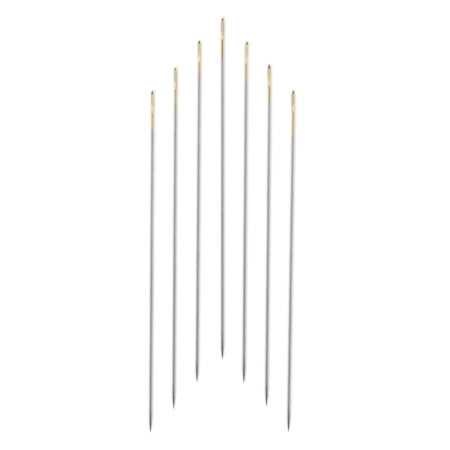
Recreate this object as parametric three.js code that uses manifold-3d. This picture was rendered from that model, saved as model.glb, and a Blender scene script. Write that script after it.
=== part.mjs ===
// A set of seven beading needles with gold-plated eyes, laid side by side on a flat surface.
// Millimetres, +Z up. The needles lie on Z = 0 with their eyes towards +Y and their points towards -Y.

import * as THREE from 'three';
import { mergeVertices } from 'three/addons/utils/BufferGeometryUtils.js';
import Module from 'manifold-3d';

// The wire
const NEEDLE_LENGTH = 55;
const WIRE_DIAMETER = 0.46;
const POINT_LENGTH = 3;
const POINT_END_DIAMETER = 0.03;

// The stamped eye. From the end of the needle it has a crown, a slot, a gutter on both faces that leads the
// thread into the slot, and a neck, where the flats run out into the round wire.
const CROWN_LENGTH = 0.5;
const CROWN_ROUNDING = 1;
const CROWN_THICKNESS = 0.2;
const SLOT_LENGTH = 1.75;
const SLOT_WIDTH = 0.2;
const GUTTER_LENGTH = 1.15;
const GUTTER_IN_SLOT = 0.3;
const GUTTER_RADIUS = 0.16;
const GUTTER_DEPTH = 0.1;
const EYE_WIDTH = 0.62;
const EYE_THICKNESS = 0.36;
const EYE_STRAIGHT = 1.2;
const NECK_LENGTH = 0.7;
const NECK_SWELL = 0.4;

// The gold jacket, and how far it runs down the round wire below the neck of each needle
const PLATING_THICKNESS = 0.02;
const PLATED_PAST_NECK = [2.05, 1.85, 1.15, 2.55, 2.25, 1.95, 3.25];

// How the needles lie, from left to right: the pattern's spacing across and its step along the needles,
// how far each one lies to the right of and above its place in the pattern, and its lean
const PITCH = 3.73;
const CHEVRON_STEP = 3.95;
const LAID_RIGHT = [-0.05, -0.06, 0, 0.16, 0.07, 0.04, 0];
const LAID_ABOVE = [0.15, -0.03, 0.33, -0.01, 0.16, 0.41, 0.23];
const LEAN_DEGREES = [0.37, 0.35, 0.44, 0.02, 0.43, 0.56, 0.88];

// How far the eye of each needle is rolled about the wire, and how far it leans off the wire's line
const EYE_ROLL_DEGREES = [2, -5, -6, -9, 7, 6, 10];
const EYE_LEAN_DEGREES = [-0.6, -0.9, -0.6, 0, 0.6, -1.3, -1.1];

// Facets
const SIDES = 16;
const POINT_STEPS = 5;
const CROWN_STEPS = 6;
const NECK_STEPS = 4;
const SLOT_END_STEPS = 6;
const GUTTER_SIDES = 12;
const GUTTER_STEPS = 6;

const WIRE_RADIUS = WIRE_DIAMETER / 2;
const SLOT_END = CROWN_LENGTH + SLOT_LENGTH;
const GUTTER_END = SLOT_END + GUTTER_LENGTH;
const NECK_END = GUTTER_END + NECK_LENGTH;
const CUT_MARGIN = WIRE_DIAMETER;

const STEEL = { color: 0xa8aaac, roughness: 0.3, metalness: 1 };
const BARE_STEEL = { color: 0x8c8e90, roughness: 0.45, metalness: 1 };
const GOLD = { color: 0xcdb37a, roughness: 0.3, metalness: 1 };

const wasm = await Module();
wasm.setup();

function solidOf(geometry) {
  const bare = geometry.clone();
  bare.deleteAttribute('normal');
  bare.deleteAttribute('uv');
  const merged = mergeVertices(bare);
  return new wasm.Manifold(new wasm.Mesh({
    numProp: 3,
    vertProperties: new Float32Array(merged.attributes.position.array),
    triVerts: new Uint32Array(merged.index.array),
  }));
}

function geometryOf(solid) {
  const mesh = solid.getMesh();
  const geometry = new THREE.BufferGeometry();
  geometry.setAttribute('position', new THREE.BufferAttribute(mesh.vertProperties, 3));
  geometry.setIndex(new THREE.BufferAttribute(mesh.triVerts, 1));
  geometry.computeVertexNormals();
  return geometry;
}

// A round body about the needle's axis, with a flat facet underneath. The profile runs up the needle.
function turned(profile, sides = SIDES) {
  return new THREE.LatheGeometry(profile, sides, Math.PI / sides);
}

// A prism with the given outline, centred on the needle's axis in its depth.
function prism(outline, depth, curveSegments) {
  const geometry = new THREE.ExtrudeGeometry(outline, { depth, curveSegments, bevelEnabled: false });
  return geometry.translate(0, 0, -depth / 2);
}

// Round wire from the plating line down to the ground point.
function shankGeometry(platedLength) {
  const end = -NEEDLE_LENGTH;
  const grinding = new THREE.QuadraticBezierCurve(
    new THREE.Vector2(POINT_END_DIAMETER / 2, end),
    new THREE.Vector2(WIRE_RADIUS, end + POINT_LENGTH / 2),
    new THREE.Vector2(WIRE_RADIUS, end + POINT_LENGTH),
  );
  return turned([
    new THREE.Vector2(0, end),
    ...grinding.getPoints(POINT_STEPS),
    new THREE.Vector2(WIRE_RADIUS, -platedLength),
    new THREE.Vector2(0, -platedLength),
  ]);
}

// The head seen from above: round wire, a neck that swells to the eye, and a rounded crown.
function headRound(foot, inset) {
  const wire = WIRE_RADIUS - inset;
  const eye = EYE_WIDTH / 2 - inset;
  const shoulder = -(CROWN_ROUNDING + EYE_STRAIGHT);
  const swellEnd = -(GUTTER_END + NECK_SWELL);
  const middle = (shoulder + swellEnd) / 2;
  const neck = new THREE.CubicBezierCurve(
    new THREE.Vector2(wire, swellEnd),
    new THREE.Vector2(wire, middle),
    new THREE.Vector2(eye, middle),
    new THREE.Vector2(eye, shoulder),
  );
  const crown = new THREE.EllipseCurve(0, -CROWN_ROUNDING, eye, CROWN_ROUNDING - inset, 0, Math.PI / 2);
  return turned([
    new THREE.Vector2(0, foot),
    new THREE.Vector2(wire, foot),
    ...neck.getPoints(NECK_STEPS),
    ...crown.getPoints(CROWN_STEPS).slice(0, -1),
    new THREE.Vector2(0, -inset),
  ]);
}

// The head seen from the side: the stamping dies leave two flats, thinnest at the crown.
function headFlats(foot, inset) {
  const wire = WIRE_RADIUS + CUT_MARGIN;
  const neck = WIRE_RADIUS - inset;
  const eye = EYE_THICKNESS / 2 - inset;
  const crown = CROWN_THICKNESS / 2 - inset;
  const side = [
    [wire, foot - CUT_MARGIN],
    [wire, -NECK_END],
    [neck, -NECK_END],
    [eye, -GUTTER_END],
    [eye, -CROWN_ROUNDING],
    [crown, 0],
    [crown, CUT_MARGIN],
  ];
  const mirrored = side.map(([half, along]) => [-half, along]).reverse();
  const corners = [...side, ...mirrored].map(([half, along]) => new THREE.Vector2(half, along));
  return prism(new THREE.Shape(corners), EYE_WIDTH + 2 * CUT_MARGIN).rotateY(Math.PI / 2);
}

// The slot that the thread goes through.
function slotCutter(inset) {
  const radius = SLOT_WIDTH / 2 + inset;
  const top = -(CROWN_LENGTH + SLOT_WIDTH / 2);
  const bottom = -(SLOT_END - SLOT_WIDTH / 2);
  const outline = new THREE.Shape();
  outline.absarc(0, top, radius, 0, Math.PI);
  outline.absarc(0, bottom, radius, Math.PI, 2 * Math.PI);
  return prism(outline, EYE_THICKNESS + WIRE_DIAMETER, SLOT_END_STEPS);
}

// One gutter: a scoop with round ends, cut into the upper face for side 1 or the lower face for side -1.
function gutterCutter(inset, side) {
  const half = (GUTTER_LENGTH + GUTTER_IN_SLOT) / 2;
  const arc = new THREE.EllipseCurve(0, 0, GUTTER_RADIUS + inset, half + inset, -Math.PI / 2, Math.PI / 2);
  const profile = arc.getPoints(GUTTER_STEPS);
  profile[0].x = 0;
  profile[GUTTER_STEPS].x = 0;
  const height = EYE_THICKNESS / 2 - GUTTER_DEPTH + GUTTER_RADIUS;
  return turned(profile, GUTTER_SIDES).translate(0, half - GUTTER_END, side * height);
}

// Moves a shape sideways above the neck, more towards the crown, so that the eye leans off the wire's line.
function leaning(geometry, lean) {
  const slope = Math.tan(lean);
  const corners = geometry.attributes.position;
  for (let index = 0; index < corners.count; index += 1) {
    const aboveNeck = Math.max(0, NECK_END + corners.getY(index));
    corners.setX(index, corners.getX(index) + slope * aboveNeck);
  }
  return geometry;
}

// The stamped and pierced head, shrunk by the inset all over and standing on the foot. Only what the dies cut
// is rolled, so the wire keeps its flat facet underneath.
function headSolid(foot, inset, eyeRoll, eyeLean) {
  const stamped = (geometry) => solidOf(leaning(geometry.rotateY(eyeRoll), eyeLean));
  return solidOf(leaning(headRound(foot, inset), eyeLean))
    .intersect(stamped(headFlats(foot, inset)))
    .subtract(stamped(slotCutter(inset)))
    .subtract(stamped(gutterCutter(inset, 1)))
    .subtract(stamped(gutterCutter(inset, -1)));
}

function named(name, geometry, finish) {
  const mesh = new THREE.Mesh(geometry, new THREE.MeshStandardMaterial(finish));
  mesh.name = name;
  return mesh;
}

// One needle about its own axis, with its middle at the origin.
function makeNeedle(name, platedPastNeck, eyeRoll, eyeLean) {
  const platedLength = NECK_END + platedPastNeck;
  const plated = headSolid(-platedLength, 0, eyeRoll, eyeLean);
  const steel = headSolid(-platedLength - CUT_MARGIN, PLATING_THICKNESS, eyeRoll, eyeLean);
  const needle = new THREE.Group();
  needle.add(
    named(`${name}_shank`, shankGeometry(platedLength), STEEL),
    named(`${name}_eye_core`, geometryOf(steel.intersect(plated)), BARE_STEEL),
    named(`${name}_gold_plating`, geometryOf(plated.subtract(steel)), GOLD),
  );
  for (const piece of needle.children) {
    piece.position.y = NEEDLE_LENGTH / 2;
  }
  return needle;
}

// Leans a needle within the surface and lowers it onto that surface.
function layDown(needle, across, along, lean) {
  needle.position.set(across, along, 0);
  needle.rotation.z = -lean;
  needle.position.z = -new THREE.Box3().setFromObject(needle, true).min.z;
}

const radians = THREE.MathUtils.degToRad;
const needleSet = new THREE.Group();
const middle = (LEAN_DEGREES.length - 1) / 2;
for (const [index, lean] of LEAN_DEGREES.entries()) {
  const place = index - middle;
  const eyeRoll = radians(EYE_ROLL_DEGREES[index]);
  const eyeLean = radians(EYE_LEAN_DEGREES[index]);
  const needle = makeNeedle(`needle_${index + 1}`, PLATED_PAST_NECK[index], eyeRoll, eyeLean);
  const across = PITCH * place + LAID_RIGHT[index];
  const along = LAID_ABOVE[index] - CHEVRON_STEP * Math.abs(place);
  layDown(needle, across, along, radians(lean));
  needleSet.add(needle);
}

// The origin is under the middle of the whole set, on the surface.
const middleOfSet = new THREE.Box3().setFromObject(needleSet, true).getCenter(new THREE.Vector3());
needleSet.position.set(-middleOfSet.x, -middleOfSet.y, 0);

export default needleSet;
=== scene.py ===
"""The looks of a set of seven beading needles with gold-plated eyes, lying on a white surface.

Metres, +Z up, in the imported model's frame: the needles lie on Z = 0 with their eyes towards +Y.
"""

import math
from itertools import pairwise
from typing import Callable, NamedTuple

import bpy
import numpy as np
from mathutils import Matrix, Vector


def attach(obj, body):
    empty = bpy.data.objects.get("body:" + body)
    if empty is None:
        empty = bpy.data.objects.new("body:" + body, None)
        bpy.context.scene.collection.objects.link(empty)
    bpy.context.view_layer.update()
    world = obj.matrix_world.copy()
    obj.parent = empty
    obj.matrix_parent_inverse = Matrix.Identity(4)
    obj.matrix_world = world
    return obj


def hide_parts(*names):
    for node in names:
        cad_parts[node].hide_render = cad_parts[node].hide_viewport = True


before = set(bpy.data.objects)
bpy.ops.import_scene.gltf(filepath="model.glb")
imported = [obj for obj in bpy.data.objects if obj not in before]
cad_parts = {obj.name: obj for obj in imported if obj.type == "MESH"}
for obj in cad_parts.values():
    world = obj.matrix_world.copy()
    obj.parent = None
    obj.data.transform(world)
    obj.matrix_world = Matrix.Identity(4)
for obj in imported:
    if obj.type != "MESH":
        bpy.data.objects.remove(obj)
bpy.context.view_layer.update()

MM = 0.001

# The wire, as in the CAD model
NEEDLE_LENGTH = 55 * MM
POINT_LENGTH = 3 * MM
POINT_END_RADIUS = 0.015 * MM

# The stamped eye, as in the CAD model. Places along a needle are distances from the end of its crown.
CROWN_LENGTH = 0.5 * MM
CROWN_ROUNDING = 1 * MM
CROWN_THICKNESS = 0.2 * MM
SLOT_LENGTH = 1.75 * MM
SLOT_WIDTH = 0.2 * MM
GUTTER_LENGTH = 1.15 * MM
GUTTER_IN_SLOT = 0.3 * MM
GUTTER_RADIUS = 0.16 * MM
GUTTER_DEPTH = 0.1 * MM
EYE_WIDTH = 0.62 * MM
EYE_THICKNESS = 0.36 * MM
EYE_STRAIGHT = 1.2 * MM
NECK_LENGTH = 0.7 * MM
NECK_SWELL = 0.4 * MM
PLATING_THICKNESS = 0.02 * MM
SLOT_END = CROWN_LENGTH + SLOT_LENGTH
GUTTER_END = SLOT_END + GUTTER_LENGTH
NECK_END = GUTTER_END + NECK_LENGTH

# How far the eye of each needle, from left to right, is rolled about the wire, and how far it leans off the
# wire's line, as in the CAD model
EYE_ROLL_DEGREES = [2, -5, -6, -9, 7, 6, 10]
EYE_LEAN_DEGREES = [-0.6, -0.9, -0.6, 0, 0.6, -1.3, -1.1]
NEEDLES = len(EYE_ROLL_DEGREES)

# Softened edges: how far the slot's lips are rounded, how far past the neck the flats fade out, and how
# tightly the stamped flats and the gutters turn into the faces beside them
LIP_WIDTH = 0.09 * MM
FLATS_FADE = 1 * MM
FLATS_TURN = 7
GUTTER_TURN = 6

# Mesh steps
QUARTER_STEPS = 12
CROWN_STEPS = 16
SLOT_END_STEPS = 7
SLOT_STEPS = 16
GUTTER_STEPS = 18
NECK_STEPS = 16
PLATED_WIRE_STEPS = 5
SHANK_STEPS = 16
POINT_STEPS = 24
TIP_STEPS = 4
SHARP_DEGREES = 75

# The quarters of a ring in order around it, from below: right or left, and lower or upper
QUARTERS = [(1, -1), (1, 1), (-1, 1), (-1, -1)]

# How far beyond the slot its edge still draws the rings' points closer together
CROWDING_REACH = 0.4 * MM

# Where the corners of a flat end of a CAD shank are looked for
END_REACH = 0.02 * MM

# The mesh attribute that holds each point's place in its own needle, in millimetres: across, along, above
PLACE = "needle_mm"

# The map that a bake of the materials goes through, the share of it that is left free at its edges, and the
# height of its rows for the hidden inside of a jacket, where other rows are 1 high
BAKE_MAP = "OFBake"
BAKE_MARGIN = 0.01
INSIDE_ROW = 0.1


def smooth_step(start, end, value):
    """0 before the start, 1 after the end, and a smooth rise between them."""
    share = np.clip((value - start) / (end - start), 0, 1)
    return share * share * (3 - 2 * share)


def close_at_start(start, end, steps):
    """Places from start to end, closer together at the start, without the start itself."""
    share = 1 - np.cos(np.linspace(0, math.pi / 2, steps + 1)[1:])
    return start + (end - start) * share


def close_at_ends(start, end, steps):
    """Places from start to end, closer together at both, without the start itself."""
    share = (1 - np.cos(np.linspace(0, math.pi, steps + 1)[1:])) / 2
    return start + (end - start) * share


def evenly(start, end, steps):
    """Places from start to end, evenly spaced, without the start itself."""
    return np.linspace(start, end, steps + 1)[1:]


# Where each needle lies

def flat_end(corners, end):
    """The middle of the flat end that a shank has at that place along Y."""
    near = corners[np.abs(corners[:, 1] - end) < END_REACH]
    return (near.min(axis=0) + near.max(axis=0)) / 2


class Needle:
    """A needle's place in the set, its plated length and its wire's radius, read from its CAD shank."""

    def __init__(self, number):
        self.number = number
        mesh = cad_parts[f"needle_{number}_shank"].data
        corners = np.array([vertex.co for vertex in mesh.vertices])
        plating_line = flat_end(corners, corners[:, 1].max())
        point = flat_end(corners, corners[:, 1].min())
        length = np.linalg.norm(plating_line - point)
        self.down = (point - plating_line) / length
        self.crown = point - self.down * NEEDLE_LENGTH
        self.plated = NEEDLE_LENGTH - length
        # The wire lies on Z = 0, so its middle is one radius up
        self.wire_radius = plating_line[2]
        self.level = np.cross((0, 0, 1), self.down)
        upright = np.cross(self.down, self.level)
        roll = math.radians(EYE_ROLL_DEGREES[number - 1])
        self.across = self.level * math.cos(roll) - upright * math.sin(roll)
        self.above = self.level * math.sin(roll) + upright * math.cos(roll)
        self.lean = math.tan(math.radians(EYE_LEAN_DEGREES[number - 1]))

    def place(self, points):
        """Points in the set from points in the needle: across, along and above."""
        across, along, above = points.T[:, :, None]
        leaning = self.lean * np.maximum(NECK_END - along, 0)
        offset = across * self.across + along * self.down + above * self.above + leaning * self.level
        return self.crown + offset


# The shape of the head

def half_width(along, inset, wire_radius):
    """Half the head's width seen from above, with a rounded crown and a neck that narrows to the wire."""
    eye = EYE_WIDTH / 2 - inset
    wire = wire_radius - inset
    width = eye + (wire - eye) * smooth_step(CROWN_ROUNDING + EYE_STRAIGHT, GUTTER_END + NECK_SWELL, along)
    rise = np.clip((CROWN_ROUNDING - along) / (CROWN_ROUNDING - inset), 0, 1)
    return width * np.sqrt(1 - rise**2)


def half_thickness(along, inset):
    """Half the thickness that the stamping dies leave, which runs out into the wire below the gutters."""
    eye = EYE_THICKNESS / 2
    crown = (eye - CROWN_THICKNESS / 2) * np.clip(1 - along / CROWN_ROUNDING, 0, 1)
    neck = (EYE_WIDTH / 2 - eye) * np.clip((along - GUTTER_END) / NECK_LENGTH, 0, None)
    return eye - crown + neck - inset


def beside_slot(across, along):
    """Distance from the slot's middle line, which runs between the centres of its round ends."""
    upper = CROWN_LENGTH + SLOT_WIDTH / 2
    lower = SLOT_END - SLOT_WIDTH / 2
    beyond = np.maximum(np.maximum(upper - along, along - lower), 0)
    return np.hypot(across, beyond)


def gutter_floor(across, along, inset):
    """Height of the scoop that leads the thread into the slot."""
    half_length = (GUTTER_LENGTH + GUTTER_IN_SLOT) / 2
    half_chord = math.sqrt(GUTTER_RADIUS**2 - (GUTTER_RADIUS - GUTTER_DEPTH) ** 2)
    middle = GUTTER_END - half_length
    lowest = EYE_THICKNESS / 2 - GUTTER_DEPTH - inset
    return lowest + GUTTER_DEPTH * ((across / half_chord) ** 2 + ((along - middle) / half_length) ** 2)


def lower_of(height, limit, turn, share=1):
    """The lower of two heights, with a soft turn where they cross."""
    return height / (1 + share * (height / limit) ** turn) ** (1 / turn)


def head_height(across, along, inset, wire_radius):
    """Height of the head's upper face above its middle plane. The lower face is its mirror image."""
    width = half_width(along, inset, wire_radius)
    height = np.sqrt(np.maximum(width**2 - across**2, 0))
    stamped = 1 - smooth_step(NECK_END, NECK_END + FLATS_FADE, along)
    height = lower_of(height, half_thickness(along, inset), FLATS_TURN, stamped)
    height = lower_of(height, gutter_floor(across, along, inset), GUTTER_TURN)
    lip = np.clip((beside_slot(across, along) - SLOT_WIDTH / 2 - inset) / LIP_WIDTH, 0, 1)
    return height * np.sqrt(lip * (2 - lip))


def head_places(plated, inset):
    """Places of the head's rings along the needle, closer together where its surface turns."""
    slot_start = CROWN_LENGTH - inset
    slot_end = SLOT_END + inset
    upper = CROWN_LENGTH + SLOT_WIDTH / 2
    lower = SLOT_END - SLOT_WIDTH / 2
    flats_end = NECK_END + FLATS_FADE
    return np.concatenate([
        [inset],
        close_at_ends(inset, slot_start, CROWN_STEPS)[:-1],
        [slot_start],
        close_at_start(slot_start, upper, SLOT_END_STEPS),
        evenly(upper, lower, SLOT_STEPS),
        close_at_start(slot_end, lower, SLOT_END_STEPS)[-2::-1],
        [slot_end],
        close_at_start(slot_end, GUTTER_END, GUTTER_STEPS),
        evenly(GUTTER_END, flats_end, NECK_STEPS),
        evenly(flats_end, plated, PLATED_WIRE_STEPS),
    ])


def head_surface(needle, inset):
    """Points of the head's surface, shrunk by the inset, and rings of their numbers, each in four quarters.

    In the slot the upper and lower quarters meet at its edge, and elsewhere the right and left ones meet.
    """
    numbers = {}
    rings = []
    slot_start = CROWN_LENGTH - inset
    slot_end = SLOT_END + inset
    turn = np.linspace(0, 1, QUARTER_STEPS + 1)
    for along in head_places(needle.plated, inset):
        width = float(half_width(along, inset, needle.wire_radius))
        beyond = float(beside_slot(0, along))
        slot = 0
        if slot_start < along < slot_end:
            slot = math.sqrt(max((SLOT_WIDTH / 2 + inset) ** 2 - beyond**2, 0))
        crowding = 1 - smooth_step(0, CROWDING_REACH, beyond - SLOT_WIDTH / 2)
        spread = (1 - crowding) * np.cos(turn * math.pi / 2) + crowding * (1 + np.cos(turn * math.pi)) / 2
        across = slot + (width - slot) * spread
        above = head_height(across, along, inset, needle.wire_radius)
        across[-1] = slot
        above[0] = 0
        if slot_start <= along <= slot_end:
            above[-1] = 0
        quarters = []
        for side, face in QUARTERS:
            places = zip(side * across, face * above)
            inwards = [numbers.setdefault((x, along, z), len(numbers)) for x, z in places]
            quarters.append(inwards if side == face else inwards[::-1])
        rings.append(quarters)
    return list(numbers), rings


# The three pieces of a needle, each as points in the needle (across, along, above), rings of their numbers
# and the place of each ring's row in the bake's map

def polished_shank(needle):
    """Round wire from a flat end at the plating line to a ground point with a rounded tip."""
    wire = needle.wire_radius
    point_start = NEEDLE_LENGTH - POINT_LENGTH
    tip_start = NEEDLE_LENGTH - POINT_END_RADIUS
    profile = [(needle.plated, 0), (needle.plated, wire)]
    for along in close_at_start(needle.plated, point_start, SHANK_STEPS):
        profile.append((along, wire))
    for along in evenly(point_start, tip_start, POINT_STEPS):
        ground = ((along - point_start) / (tip_start - point_start)) ** 2
        profile.append((along, wire + (POINT_END_RADIUS - wire) * ground))
    for angle in evenly(0, math.pi / 2, TIP_STEPS)[:-1]:
        profile.append((tip_start + POINT_END_RADIUS * math.sin(angle), POINT_END_RADIUS * math.cos(angle)))
    profile.append((NEEDLE_LENGTH, 0))
    sides = QUARTER_STEPS * len(QUARTERS)
    numbers = {}
    rings = []
    for along, radius in profile:
        ring = []
        for side in range(sides + 1):
            angle = 2 * math.pi * (side % sides) / sides - math.pi / 2
            point = (radius * math.cos(angle), along, radius * math.sin(angle))
            ring.append(numbers.setdefault(point, len(numbers)))
        rings.append([ring])
    return list(numbers), rings, range(len(rings))


def pierced_core(needle):
    """The stamped head under the gold, with a flat end at the plating line."""
    points, rings = head_surface(needle, PLATING_THICKNESS)
    middle = len(points)
    rings.append(np.full_like(rings[0], middle).tolist())
    return [*points, (0, needle.plated, 0)], rings, range(len(rings))


def gold_jacket(needle):
    """A skin over the core, which turns back inside itself at the plating line."""
    points, outside = head_surface(needle, 0)
    inner_points, inside = head_surface(needle, PLATING_THICKNESS)
    inside = (np.array(inside)[::-1] + len(points)).tolist()
    rows = range(len(outside))
    inside_rows = len(outside) + INSIDE_ROW * np.arange(len(inside))
    return points + inner_points, outside + inside, [*rows, *inside_rows]


def joined(rings, rows):
    """Faces between the rings, and the column and row of each face's corners in the bake's map."""
    faces = []
    spots = []
    for (ring, row), (next_ring, next_row) in pairwise(zip(rings, rows)):
        column = 0
        for strip, next_strip in zip(ring, next_ring):
            for step in range(len(strip) - 1):
                corners = {
                    strip[step]: (column, row),
                    strip[step + 1]: (column + 1, row),
                    next_strip[step + 1]: (column + 1, next_row),
                    next_strip[step]: (column, next_row),
                }
                faces.append(list(corners))
                spots += corners.values()
                column += 1
    return faces, np.array(spots)


def make_piece(name, shape, needle, material):
    """An object of the shape at the needle's place, with its points' places in the needle and a bake map."""
    points, rings, rows = shape
    points = np.array(points)
    faces, spots = joined(rings, rows)
    mesh = bpy.data.meshes.new(name)
    mesh.from_pydata(needle.place(points), [], faces)
    places = mesh.attributes.new(PLACE, "FLOAT_VECTOR", "POINT")
    places.data.foreach_set("vector", (points / MM).astype(np.float32).ravel())
    shares = BAKE_MARGIN + (1 - 2 * BAKE_MARGIN) * spots / spots.max(axis=0)
    bake_map = mesh.uv_layers.new(name=BAKE_MAP)
    bake_map.data.foreach_set("uv", shares.astype(np.float32).ravel())
    mesh.shade_smooth()
    mesh.set_sharp_from_angle(angle=math.radians(SHARP_DEGREES))
    mesh.materials.append(material)
    piece = bpy.data.objects.new(name, mesh)
    bpy.context.scene.collection.objects.link(piece)
    return piece


# Tools for materials

# The colour sockets of a mix node, which has other sockets of the same names
MIX_SHARE = 0
MIX_FIRST = 6
MIX_SECOND = 7
MIX_RESULT = 2

# How strongly a metal's marks tilt its surface
BUMP_STRENGTH = 0.6


class Nodes:
    """Adds nodes to the emptied tree of a material or the world."""

    def __init__(self, owner):
        owner.use_nodes = True
        self.tree = owner.node_tree
        self.tree.nodes.clear()

    def add(self, kind, inputs, **settings):
        node = self.tree.nodes.new(kind)
        for name, value in settings.items():
            setattr(node, name, value)
        for key, value in inputs.items():
            if isinstance(value, bpy.types.NodeSocket):
                self.tree.links.new(value, node.inputs[key])
            else:
                node.inputs[key].default_value = value
        return node

    def split(self, vector):
        return self.add("ShaderNodeSeparateXYZ", {0: vector}).outputs

    def ramp(self, value, span, ends=(0, 1)):
        """Goes smoothly from one end to the other while the value crosses the span."""
        start, end = span
        first, last = ends
        inputs = {"Value": value, "From Min": start, "From Max": end, "To Min": first, "To Max": last}
        return self.add("ShaderNodeMapRange", inputs, interpolation_type="SMOOTHSTEP").outputs[0]

    def math(self, operation, first, second=0.0):
        return self.add("ShaderNodeMath", {0: first, 1: second}, operation=operation).outputs[0]

    def mix(self, share, first, second):
        inputs = {MIX_SHARE: share, MIX_FIRST: first, MIX_SECOND: second}
        return self.add("ShaderNodeMix", inputs, data_type="RGBA").outputs[MIX_RESULT]


class Grain(NamedTuple):
    """Noise with so many features a millimetre across, along and above a needle."""

    density: tuple
    detail: int
    seed: int


class MetalNodes(Nodes):
    """The nodes of one needle's metal, which know where on the needle they are, in millimetres."""

    def __init__(self, slot, needle):
        self.material = bpy.data.materials.new(f"{slot}_{needle.number}")
        super().__init__(self.material)
        self.needle = needle
        self.place = self.add("ShaderNodeAttribute", {}, attribute_name=PLACE).outputs["Vector"]
        self.across, self.along = self.split(self.place)[:2]
        self.aside = self.math("ABSOLUTE", self.across)

    def noise(self, grain):
        inputs = {0: self.place, 1: grain.density}
        scaled = self.add("ShaderNodeVectorMath", inputs, operation="MULTIPLY").outputs[0]
        seed = grain.seed + self.needle.number
        inputs = {"Vector": scaled, "W": seed, "Scale": 1.0, "Detail": grain.detail}
        return self.add("ShaderNodeTexNoise", inputs, noise_dimensions="4D").outputs[0]

    def finish(self, colour, roughness, marks, depth):
        """The material: a metal with marks of a depth."""
        inputs = {"Height": marks, "Strength": BUMP_STRENGTH, "Distance": depth}
        normal = self.add("ShaderNodeBump", inputs).outputs[0]
        inputs = {"Base Color": colour, "Metallic": 1.0, "Roughness": roughness, "Normal": normal}
        shader = self.add("ShaderNodeBsdfPrincipled", inputs).outputs[0]
        self.add("ShaderNodeOutputMaterial", {"Surface": shader})
        return self.material


# Materials

STEEL = (0.61, 0.615, 0.62, 1)
STEEL_DULL = (0.55, 0.555, 0.56, 1)
STEEL_GREY = (0.25, 0.254, 0.258, 1)
# Painted shade along the middle of the ground point
STEEL_POINT_SHADE = (0.08, 0.082, 0.084, 1)
GOLD = (1.0, 0.895, 0.625, 1)
GOLD_DEEP = (0.95, 0.84, 0.575, 1)
# Painted highlight along the middle of the gutter
GOLD_PAINTED_HIGHLIGHT = (1.0, 0.905, 0.66, 1)
GOLD_NECK = (0.91, 0.745, 0.465, 1)
# A brown tone for the neck, and painted shade on the neck and beside the slot
GOLD_BROWN_AND_SHADE = (0.31, 0.22, 0.115, 1)
# Painted shade at the crown
CROWN_PAINTED_SHADE = (0.11, 0.08, 0.045, 1)

STEEL_CLOUDS = Grain((1.5, 0.35, 1.5), 3, 40)
DRAWN_LINES = Grain((30, 0.15, 30), 3, 50)
GRINDING_LINES = Grain((6, 40, 6), 2, 60)
CORE_CLOUDS = Grain((3, 1, 3), 3, 70)
CORE_STAMPING = Grain((16, 3, 16), 2, 80)
GOLD_CLOUDS = Grain((2, 1.2, 2), 4, 10)
GOLD_RUBBING = Grain((24, 1.2, 24), 3, 20)
GOLD_RAGGED = Grain((4, 2, 4), 3, 30)

# The middle of noise, the levels between which it is followed, and those for drawn and grinding lines in one
NOISE_MIDDLE = 0.5
NOISE_SPAN = (0.3, 0.7)
LINES_SPAN = (0.3, 1.2)

# Least and most roughness, how much rougher the stamped flats are, and the depth of the marks
STEEL_ROUGHNESS = (0.18, 0.32)
CORE_ROUGHNESS = (0.35, 0.5)
GOLD_ROUGHNESS = (0.16, 0.3)
STAMPED_ROUGHNESS = 0.28
STEEL_MARKS = 0.004 * MM
CORE_MARKS = 0.002 * MM
GOLD_MARKS = 0.003 * MM

# Where the finish changes along a needle, in millimetres: the painted shade beside the slot, the painted
# highlight in the gutter and the gold of the neck set in, the stamped flats run out, the steel goes grey and
# the ground point, with its grinding lines and painted shade, sets in
SLOT_SHADE_SPAN = (0.4, 0.8)
GUTTER_HIGHLIGHT_SPAN = (1.6, 2.4)
NECK_SPAN = (3.2, 3.7)
STAMPED_SPAN = (2.2, 3.0)
GREY_SPAN = (0, 60)
GROUND_AND_SHADE_SPAN = (50, 54)

# Where it changes aside from the middle line, in millimetres: on the round wire, in the gutter's painted
# highlight, at the outer edge of the eye and on the crown, and how far aside the painted shade beside the
# slot is full
WIRE_SIDE_SPAN = (0.05, 0.17)
GUTTER_HIGHLIGHT_SIDE_SPAN = (0.06, 0.18)
EYE_SIDE_SPAN = (0.18, 0.3)
CROWN_SIDE_SPAN = (0.04, 0.2)
SLOT_SHADE_FULL = 0.17

# How grey the steel goes, how much painted shade the ground point gets, along the middle and aside, how
# brown the neck is aside, a brown tone with painted shade, and how much of their painted shade the outer
# edge of the eye and the crown's sides keep
GREY_SHARE = 0.4
POINT_SHADE_SHARE = (0.78, 0.16)
NECK_BROWN_AND_SHADE_ASIDE = 0.2
EYE_SIDE_SHARE = 0.3
CROWN_SIDE_SHARE = 0.15

# How far the end of the gold and the end of the crown's shade wander along the needle, and the length over
# which that shade fades, in millimetres
RAGGED_DEPTH = 0.3
CROWN_SHADE_FADE = 0.3

# The gold of each needle, from left to right, with lengths in millimetres: how dark the painted shade on
# its crown is, how far down it reaches and how far to the right it lies, how dark the painted shade beside
# the slot is on the right (or the left, below zero), how brown its neck is along the middle, a brown tone
# with painted shade, how much steel shows through there, and the length over which the gold thins out to
# steel, half of it above the plating line
CROWN_SHADE = [0.75, 0.6, 0.85, 1.0, 1.0, 0.9, 0.75]
CROWN_SHADE_END = [0.75, 0.6, 0.7, 0.55, 0.55, 0.85, 0.75]
CROWN_SHADE_RIGHT = [0.0, 0.0, 0.0, 0.08, 0.09, -0.03, 0.0]
SLOT_SHADE = [0.15, 0.35, 0.2, 0.5, -0.1, -0.3, -0.5]
NECK_BROWN_AND_SHADE = [0.1, 0.16, 0.12, 0.77, 0.17, 0.42, 0.23]
NECK_THIN = [0.0, 0.1, 0.3, 0.0, 0.1, 0.2, 0.1]
GOLD_FADE = [0.4, 0.9, 0.8, 1.0, 0.4, 0.8, 1.0]


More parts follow.
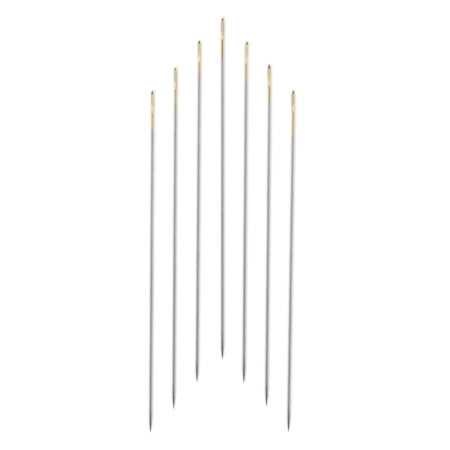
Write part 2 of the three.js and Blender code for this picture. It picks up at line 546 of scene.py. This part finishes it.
def of_needle(values, nodes):
    """The value for the needle that the nodes are for, out of one for each needle."""
    return values[nodes.needle.number - 1]


def blend(share, first, second):
    """A colour on the way from the first to the second."""
    return [one + (other - one) * share for one, other in zip(first, second)]


def uneven_along(nodes):
    """The place along the needle, made ragged."""
    ragged = nodes.math("SUBTRACT", nodes.noise(GOLD_RAGGED), NOISE_MIDDLE)
    return nodes.math("ADD", nodes.along, nodes.math("MULTIPLY", ragged, RAGGED_DEPTH))


def gold_share(nodes):
    """How much gold is left around the plating line, on the jacket and on the wire below it."""
    line = nodes.needle.plated / MM
    half_fade = of_needle(GOLD_FADE, nodes) / 2
    return nodes.ramp(uneven_along(nodes), (line - half_fade, line + half_fade), (1, 0))


def neck_gold(nodes):
    """The gold of the neck and the round wire: a brown tone, with painted shade across the wire."""
    thin_gold = blend(of_needle(NECK_THIN, nodes), GOLD_NECK, STEEL)
    brown = nodes.ramp(nodes.aside, WIRE_SIDE_SPAN, (of_needle(NECK_BROWN_AND_SHADE, nodes), NECK_BROWN_AND_SHADE_ASIDE))
    # A brown tone, with painted shade along the middle of the wire on some needles
    return nodes.mix(brown, thin_gold, GOLD_BROWN_AND_SHADE)


def eye_gold(nodes):
    """The gold of the eye, with painted shade beside the slot and a painted highlight along the gutter."""
    shade = of_needle(SLOT_SHADE, nodes)
    shade_full = math.copysign(SLOT_SHADE_FULL, shade)
    colour = nodes.mix(nodes.ramp(nodes.noise(GOLD_CLOUDS), NOISE_SPAN), GOLD, GOLD_DEEP)
    darker = nodes.ramp(nodes.across, (0, shade_full), (0, abs(shade)))
    darker = nodes.math("MULTIPLY", darker, nodes.ramp(nodes.aside, EYE_SIDE_SPAN, (1, EYE_SIDE_SHARE)))
    darker = nodes.math("MULTIPLY", darker, nodes.ramp(nodes.along, SLOT_SHADE_SPAN))
    # Painted shade beside the slot, on one side
    colour = nodes.mix(darker, colour, GOLD_BROWN_AND_SHADE)
    # Painted highlight along the middle of the gutter
    bright = nodes.ramp(nodes.aside, GUTTER_HIGHLIGHT_SIDE_SPAN, (1, 0))
    bright = nodes.math("MULTIPLY", bright, nodes.ramp(nodes.along, GUTTER_HIGHLIGHT_SPAN))
    return nodes.mix(bright, colour, GOLD_PAINTED_HIGHLIGHT)


def crown_shade(nodes):
    """How dark the painted shade on the gold of the crown is."""
    end = of_needle(CROWN_SHADE_END, nodes)
    dark = of_needle(CROWN_SHADE, nodes)
    shade = nodes.ramp(uneven_along(nodes), (end - CROWN_SHADE_FADE, end), (dark, 0))
    off_middle = nodes.math("SUBTRACT", nodes.across, of_needle(CROWN_SHADE_RIGHT, nodes))
    off_middle = nodes.math("ABSOLUTE", off_middle)
    return nodes.math("MULTIPLY", shade, nodes.ramp(off_middle, CROWN_SIDE_SPAN, (1, CROWN_SIDE_SHARE)))


def polished_steel(slot, needle):
    """Bright drawn steel, greyer towards its ground point, which has painted shade, and gilt at the plating
    line.
    """
    nodes = MetalNodes(slot, needle)
    ground = nodes.ramp(nodes.along, GROUND_AND_SHADE_SPAN)
    # Painted shade along the middle of the ground point; the same span brings in the grinding lines
    dark = nodes.math("MULTIPLY", ground, nodes.ramp(nodes.aside, WIRE_SIDE_SPAN, POINT_SHADE_SHARE))
    colour = nodes.mix(nodes.ramp(nodes.noise(STEEL_CLOUDS), NOISE_SPAN), STEEL, STEEL_DULL)
    colour = nodes.mix(nodes.ramp(nodes.along, GREY_SPAN, (0, GREY_SHARE)), colour, STEEL_GREY)
    colour = nodes.mix(dark, colour, STEEL_POINT_SHADE)
    colour = nodes.mix(gold_share(nodes), colour, neck_gold(nodes))
    grinding = nodes.math("MULTIPLY", nodes.noise(GRINDING_LINES), ground)
    lines = nodes.math("ADD", nodes.noise(DRAWN_LINES), grinding)
    return nodes.finish(colour, nodes.ramp(lines, LINES_SPAN, STEEL_ROUGHNESS), lines, STEEL_MARKS)


def stamped_steel(slot, needle):
    """Dull steel with the marks of the stamping dies."""
    nodes = MetalNodes(slot, needle)
    colour = nodes.mix(nodes.ramp(nodes.noise(CORE_CLOUDS), NOISE_SPAN), STEEL_DULL, STEEL_GREY)
    stamping = nodes.noise(CORE_STAMPING)
    return nodes.finish(colour, nodes.ramp(stamping, NOISE_SPAN, CORE_ROUGHNESS), stamping, CORE_MARKS)


def gold_plate(slot, needle):
    """Gold that is rougher on the stamped eye, with painted shade at the crown, and thin at the plating
    line.
    """
    nodes = MetalNodes(slot, needle)
    colour = nodes.mix(nodes.ramp(nodes.along, NECK_SPAN), eye_gold(nodes), neck_gold(nodes))
    # Painted shade at the crown
    colour = nodes.mix(crown_shade(nodes), colour, CROWN_PAINTED_SHADE)
    colour = nodes.mix(gold_share(nodes), STEEL, colour)
    rubbing = nodes.noise(GOLD_RUBBING)
    stamped = nodes.ramp(nodes.along, STAMPED_SPAN, (STAMPED_ROUGHNESS, 0))
    roughness = nodes.math("ADD", nodes.ramp(rubbing, NOISE_SPAN, GOLD_ROUGHNESS), stamped)
    return nodes.finish(colour, roughness, rubbing, GOLD_MARKS)


# The needles

class Dressing(NamedTuple):
    """A piece's name, the node it stands for, its material slot, and what makes its shape and material."""

    look: str
    node: str
    slot: str
    shape: Callable
    material: Callable


DRESSINGS = [
    Dressing("bright_shank", "shank", "nickel_plated_steel", polished_shank, polished_steel),
    Dressing("pierced_core", "eye_core", "bare_steel", pierced_core, stamped_steel),
    Dressing("gold_jacket", "gold_plating", "gold_plate", gold_jacket, gold_plate),
]

for number in range(1, NEEDLES + 1):
    needle = Needle(number)
    body = f"needle_{number}"
    for look, node, slot, shape, material in DRESSINGS:
        piece = make_piece(f"{body}_{look}", shape(needle), needle, material(slot, needle))
        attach(piece, body)
        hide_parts(f"{body}_{node}")


# The floor keeps the shadows. Away from the needles it is white to the camera and in reflections.

# How far it reaches, its corners, how far it lies below the needles, its colour, how strongly it glows, and
# how close to a needle the glow fades
FLOOR_REACH = 2.0
FLOOR_CORNERS = FLOOR_REACH * np.array([(-1, -1), (1, -1), (1, 1), (-1, 1)])
FLOOR_DROP = 0.001 * MM
FLOOR_COLOUR = (0.9, 0.9, 0.9, 1)
FLOOR_GLOW = 0.24
CONTACT_REACH = 0.2 * MM


def floor_material():
    material = bpy.data.materials.new("white_surface")
    nodes = Nodes(material)
    rays = nodes.add("ShaderNodeLightPath", {}).outputs
    seen = nodes.math("MAXIMUM", rays["Is Camera Ray"], rays["Is Glossy Ray"])
    seen = nodes.math("MAXIMUM", seen, rays["Is Transmission Ray"])
    clear = nodes.add("ShaderNodeAmbientOcclusion", {"Distance": CONTACT_REACH}).outputs["AO"]
    strength = nodes.math("MULTIPLY", nodes.math("MULTIPLY", seen, clear), FLOOR_GLOW)
    glow = nodes.add("ShaderNodeEmission", {"Strength": strength}).outputs[0]
    matt = nodes.add("ShaderNodeBsdfDiffuse", {"Color": FLOOR_COLOUR}).outputs[0]
    both = nodes.add("ShaderNodeAddShader", {0: glow, 1: matt}).outputs[0]
    nodes.add("ShaderNodeOutputMaterial", {"Surface": both})
    return material


floor_mesh = bpy.data.meshes.new("floor")
floor_mesh.from_pydata([(x, y, -FLOOR_DROP) for x, y in FLOOR_CORNERS], [], [range(len(FLOOR_CORNERS))])
floor_mesh.materials.append(floor_material())
floor = bpy.data.objects.new("floor", floor_mesh)
bpy.context.scene.collection.objects.link(floor)


# Light: a tent with bright walls and a dim roof, and a soft lamp that the metal doesn't mirror

# Each part of the tent: the direction's axis along which its strength changes, where it does, and from what
# strength to what. The roof dims towards the front.
TENT_ROOF = ("Y", (-0.35, 0), (0.05, 0.5))
TENT_LEFT = ("X", (-0.75, -0.15), (0.9, 0))
TENT_RIGHT = ("X", (0.15, 0.75), (0, 1))
TENT_FRONT = ("Y", (-0.8, -0.45), (1, 0))
TENT_BACK = ("Y", (0.12, 0.4), (0, 1))
TENT_HORIZON = ("Z", (0.1, 0.35), (1, 0))
TENT_PARTS = [TENT_ROOF, TENT_LEFT, TENT_RIGHT, TENT_FRONT, TENT_BACK, TENT_HORIZON]
TENT_COLOUR = (1, 1, 1, 1)
LAMP_PLACE = Vector((-0.35, -0.6, 0.4))
LAMP_SIZE = 0.3
LAMP_POWER = 2.4


def light_tent():
    world = bpy.data.worlds.new("light_tent")
    bpy.context.scene.world = world
    nodes = Nodes(world)
    direction = nodes.split(nodes.add("ShaderNodeTexCoord", {}).outputs["Generated"])
    strength = 0.0
    for axis, span, ends in TENT_PARTS:
        strength = nodes.math("MAXIMUM", nodes.ramp(direction[axis], span, ends), strength)
    background = nodes.add("ShaderNodeBackground", {"Color": TENT_COLOUR, "Strength": strength}).outputs[0]
    nodes.add("ShaderNodeOutputWorld", {"Surface": background})


light_tent()
lamp = bpy.data.lights.new("soft_lamp", "AREA")
lamp.shape = "DISK"
lamp.size = LAMP_SIZE
lamp.energy = LAMP_POWER
lamp_object = bpy.data.objects.new("soft_lamp", lamp)
lamp_object.location = LAMP_PLACE
lamp_object.visible_glossy = False
lamp_object.rotation_mode = "QUATERNION"
lamp_object.rotation_quaternion = (-LAMP_PLACE).to_track_quat("-Z", "Y")
bpy.context.scene.collection.objects.link(lamp_object)


# The camera, straight above the set, with its lens and sensor in millimetres

LENS = 150
SENSOR = 36
CLIP_START = 10 * MM
VIEW_WIDTH = 72.4 * MM
VIEW_MIDDLE = (0.462 * MM, 0.085 * MM)

camera = bpy.data.cameras.new("camera")
camera.lens = LENS
camera.sensor_width = SENSOR
camera.clip_start = CLIP_START
camera_object = bpy.data.objects.new("camera", camera)
camera_object.location = (*VIEW_MIDDLE, VIEW_WIDTH * LENS / SENSOR)
bpy.context.scene.collection.objects.link(camera_object)
bpy.context.scene.camera = camera_object
bpy.context.scene.view_settings.view_transform = "Standard"
